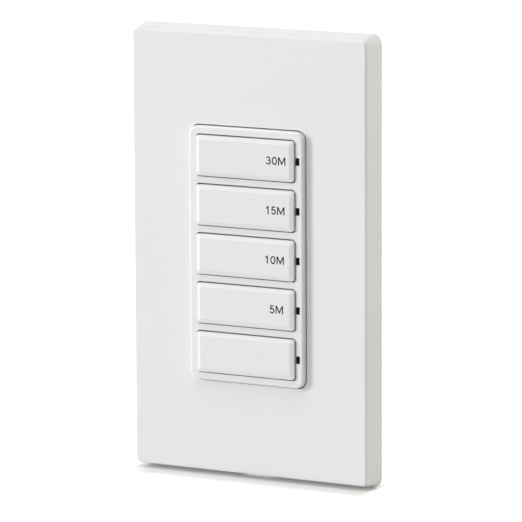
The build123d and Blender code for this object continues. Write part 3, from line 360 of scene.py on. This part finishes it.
def makeThreadTree(form):
    tree = bpy.data.node_groups.new("screwThread", "GeometryNodeTree")
    for name in ("Start", "Length", "Spacing", "Major Radius", "Minor Radius", "Pitch"):
        tree.interface.new_socket(name=name, in_out="INPUT", socket_type="NodeSocketFloat")
    tree.interface.new_socket(name="Finish", in_out="INPUT", socket_type="NodeSocketMaterial")
    tree.interface.new_socket(name="Geometry", in_out="OUTPUT", socket_type="NodeSocketGeometry")
    given = tree.nodes.new("NodeGroupInput").outputs

    def addNode(kind, result, values):
        node = tree.nodes.new(kind)
        for name, value in values.items():
            feed(tree, node.inputs[name], value)
        return node.outputs[result]

    def lifted(shape, height):
        rise = addNode("ShaderNodeCombineXYZ", "Vector", {"Z": addMath(tree, "MULTIPLY", height, 0.5)})
        return addNode("GeometryNodeTransform", "Geometry", {"Geometry": shape, "Translation": rise})

    climb = addMath(tree, "SUBTRACT", given["Length"], given["Pitch"])
    helix = addNode("GeometryNodeCurveSpiral", "Curve", {
        "Resolution": form["facets"],
        "Rotations": addMath(tree, "DIVIDE", climb, given["Pitch"]),
        "Start Radius": given["Minor Radius"],
        "End Radius": given["Minor Radius"],
        "Height": climb,
    })
    ridge = addNode("GeometryNodeCurvePrimitiveCircle", "Curve", {
        "Resolution": form["ridgeSides"],
        "Radius": addMath(tree, "SUBTRACT", given["Major Radius"], given["Minor Radius"]),
    })
    sweep = addNode("GeometryNodeCurveToMesh", "Mesh", {
        "Curve": helix, "Profile Curve": ridge, "Fill Caps": True,
    })
    core = addNode("GeometryNodeMeshCylinder", "Mesh", {
        "Vertices": form["facets"], "Radius": given["Minor Radius"], "Depth": given["Length"],
    })
    shank = tree.nodes.new("GeometryNodeJoinGeometry")
    tree.links.new(lifted(sweep, given["Pitch"]), shank.inputs["Geometry"])
    tree.links.new(lifted(core, given["Length"]), shank.inputs["Geometry"])
    lowest = addNode("ShaderNodeCombineXYZ", "Vector", {
        "Y": given["Start"], "Z": addMath(tree, "MULTIPLY", given["Spacing"], -0.5),
    })
    pair = addNode("GeometryNodeMeshLine", "Mesh", {
        "Count": 2,
        "Start Location": lowest,
        "Offset": addNode("ShaderNodeCombineXYZ", "Vector", {"Z": given["Spacing"]}),
    })
    copies = addNode("GeometryNodeInstanceOnPoints", "Instances", {
        "Points": pair, "Instance": shank.outputs["Geometry"], "Rotation": (math.radians(-90), 0, 0),
    })
    solid = addNode("GeometryNodeRealizeInstances", "Geometry", {"Geometry": copies})
    coated = addNode("GeometryNodeSetMaterial", "Geometry", {"Geometry": solid, "Material": given["Finish"]})
    tree.links.new(coated, tree.nodes.new("NodeGroupOutput").inputs["Geometry"])
    return tree


def growThread(tree, values):
    holder = bpy.data.objects.new("threadBlank", bpy.data.meshes.new("threadBlank"))
    bpy.context.collection.objects.link(holder)
    modifier = holder.modifiers.new("thread", "NODES")
    modifier.node_group = tree
    for item in tree.interface.items_tree:
        if item.in_out == "INPUT" and item.name in values:
            modifier[item.identifier] = values[item.name]
    bpy.context.view_layer.update()
    mesh = bpy.data.meshes.new_from_object(holder.evaluated_get(bpy.context.evaluated_depsgraph_get()))
    bpy.data.objects.remove(holder)
    return mesh


def threadScrews(tree, node, place, form):
    finish = slotMaterials["plated_steel"]
    threadMesh = growThread(tree, {
        "Start": place["start"],
        "Length": place["end"] - place["start"],
        "Spacing": place["spacing"],
        "Major Radius": form["majorRadius"],
        "Minor Radius": form["minorRadius"],
        "Pitch": form["pitch"],
        "Finish": finish,
    })
    # The heads and necks come from the solid screws, cut off where the thread starts
    shell = bmesh.new()
    shell.from_mesh(frame["nodes"][node].data)
    bmesh.ops.remove_doubles(shell, verts=shell.verts, dist=form["weldReach"])
    cut = bmesh.ops.bisect_plane(
        shell, geom=shell.verts[:] + shell.edges[:] + shell.faces[:], dist=form["cutReach"],
        plane_co=(0, place["start"], 0), plane_no=(0, 1, 0), clear_outer=True,
    )
    rims = [item for item in cut["geom_cut"] if isinstance(item, bmesh.types.BMEdge)]
    bmesh.ops.edgeloop_fill(shell, edges=[edge for edge in rims if edge.is_boundary])
    bmesh.ops.recalc_face_normals(shell, faces=shell.faces)
    shell.from_mesh(threadMesh)
    mesh = bpy.data.meshes.new(node + "_threaded")
    shell.to_mesh(mesh)
    shell.free()
    mesh.materials.append(finish)
    piece = bpy.data.objects.new(node + "_threaded", mesh)
    bpy.context.collection.objects.link(piece)
    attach(piece, "switch_body")
    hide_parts(node)


threadTree = makeThreadTree(threadForm)
for node, place in threads.items():
    threadScrews(threadTree, node, place, threadForm)
print("threads cut")


# Pale floor that stays white away from the switch and keeps its contact shadow
floorLook = {
    "size": 12.0,
    "level": -58.85 * mm,
    "colour": (0.76, 0.76, 0.74),
    "roughness": 0.12,
    "sheen": 0.35,
    "nearGlow": 0.15,
    "farGlow": 0.93,
    "middle": (0, -5 * mm),  # of the contact shadow, across and in depth
    "fades": ((34 * mm, 38 * mm), (6 * mm, 13 * mm)),  # distances from that middle
}


def makeFloor(settings):
    half = settings["size"] / 2
    mesh = bpy.data.meshes.new("floor")
    corners = [(-half, -half), (half, -half), (half, half), (-half, half)]
    mesh.from_pydata([(x, y, settings["level"]) for x, y in corners], [], [(0, 1, 2, 3)])
    floor = bpy.data.objects.new("floor", mesh)
    bpy.context.collection.objects.link(floor)
    material, tree, shader = startMaterial("floorGloss")
    shader.inputs["Base Color"].default_value = (*settings["colour"], 1)
    shader.inputs["Roughness"].default_value = settings["roughness"]
    shader.inputs["Specular IOR Level"].default_value = settings["sheen"]
    split = tree.nodes.new("ShaderNodeSeparateXYZ")
    tree.links.new(patternSpace(tree), split.inputs[0])
    fades = []
    for axis, middle, fade in zip("XY", settings["middle"], settings["fades"]):
        away = addMath(tree, "ABSOLUTE", addMath(tree, "SUBTRACT", split.outputs[axis], middle))
        fades.append(addRange(tree, away, settings["nearGlow"], settings["farGlow"], *fade))
    light = tree.nodes.new("ShaderNodeEmission")
    glow = addMath(tree, "MULTIPLY", addMath(tree, "MAXIMUM", *fades), addSeen(tree))
    tree.links.new(glow, light.inputs["Strength"])
    total = tree.nodes.new("ShaderNodeAddShader")
    tree.links.new(shader.outputs[0], total.inputs[0])
    tree.links.new(light.outputs[0], total.inputs[1])
    tree.links.new(total.outputs[0], tree.nodes["Material Output"].inputs["Surface"])
    mesh.materials.append(material)


makeFloor(floorLook)


# Soft studio light: a tall key at the left, weaker lamps above, behind and at the right, an even world
lamps = {
    "key": {
        "toward": (-0.80, -0.51, 0.25), "distance": 3.0, "size": (0.7, 1.4),
        "power": 64.0, "colour": (1, 1, 1),
    },
    "top": {
        "toward": (0.0, -0.26, 1.0), "distance": 1.5, "size": (0.9, 0.9),
        "power": 12.3, "colour": (1, 1, 1),
    },
    "back": {
        "toward": (0.2, 0.9, 0.4), "distance": 1.5, "size": (0.9, 0.9),
        "power": 5.0, "colour": (1, 1, 1),
    },
    "fill": {
        "toward": (1.0, 0.85, 0.25), "distance": 1.1, "size": (0.6, 0.6),
        "power": 3.5, "colour": (1, 0.985, 0.90),
    },
}
worldLook = {"level": 0.2, "seenLevel": 1.0}


def hangLamp(name, settings):
    lamp = bpy.data.lights.new(name, "AREA")
    lamp.energy = settings["power"]
    lamp.shape = "RECTANGLE"
    lamp.size, lamp.size_y = settings["size"]
    lamp.color = settings["colour"]
    holder = bpy.data.objects.new(name, lamp)
    toward = Vector(settings["toward"]).normalized()
    turn = toward.to_track_quat("Z", "Y").to_matrix().to_4x4()
    holder.matrix_world = Matrix.Translation(toward * settings["distance"]) @ turn
    bpy.context.collection.objects.link(holder)


def makeWorld(settings):
    world = bpy.data.worlds.new("studio")
    world.use_nodes = True
    tree = world.node_tree
    background = tree.nodes["Background"]
    background.inputs["Color"].default_value = (1, 1, 1, 1)
    level = addRange(tree, addSeen(tree), settings["level"], settings["seenLevel"], 0.0, 1.0)
    tree.links.new(level, background.inputs["Strength"])
    bpy.context.scene.world = world


for name, settings in lamps.items():
    hangLamp(name, settings)
makeWorld(worldLook)
bpy.context.scene.view_settings.view_transform = "Standard"
print("floor and lights set")
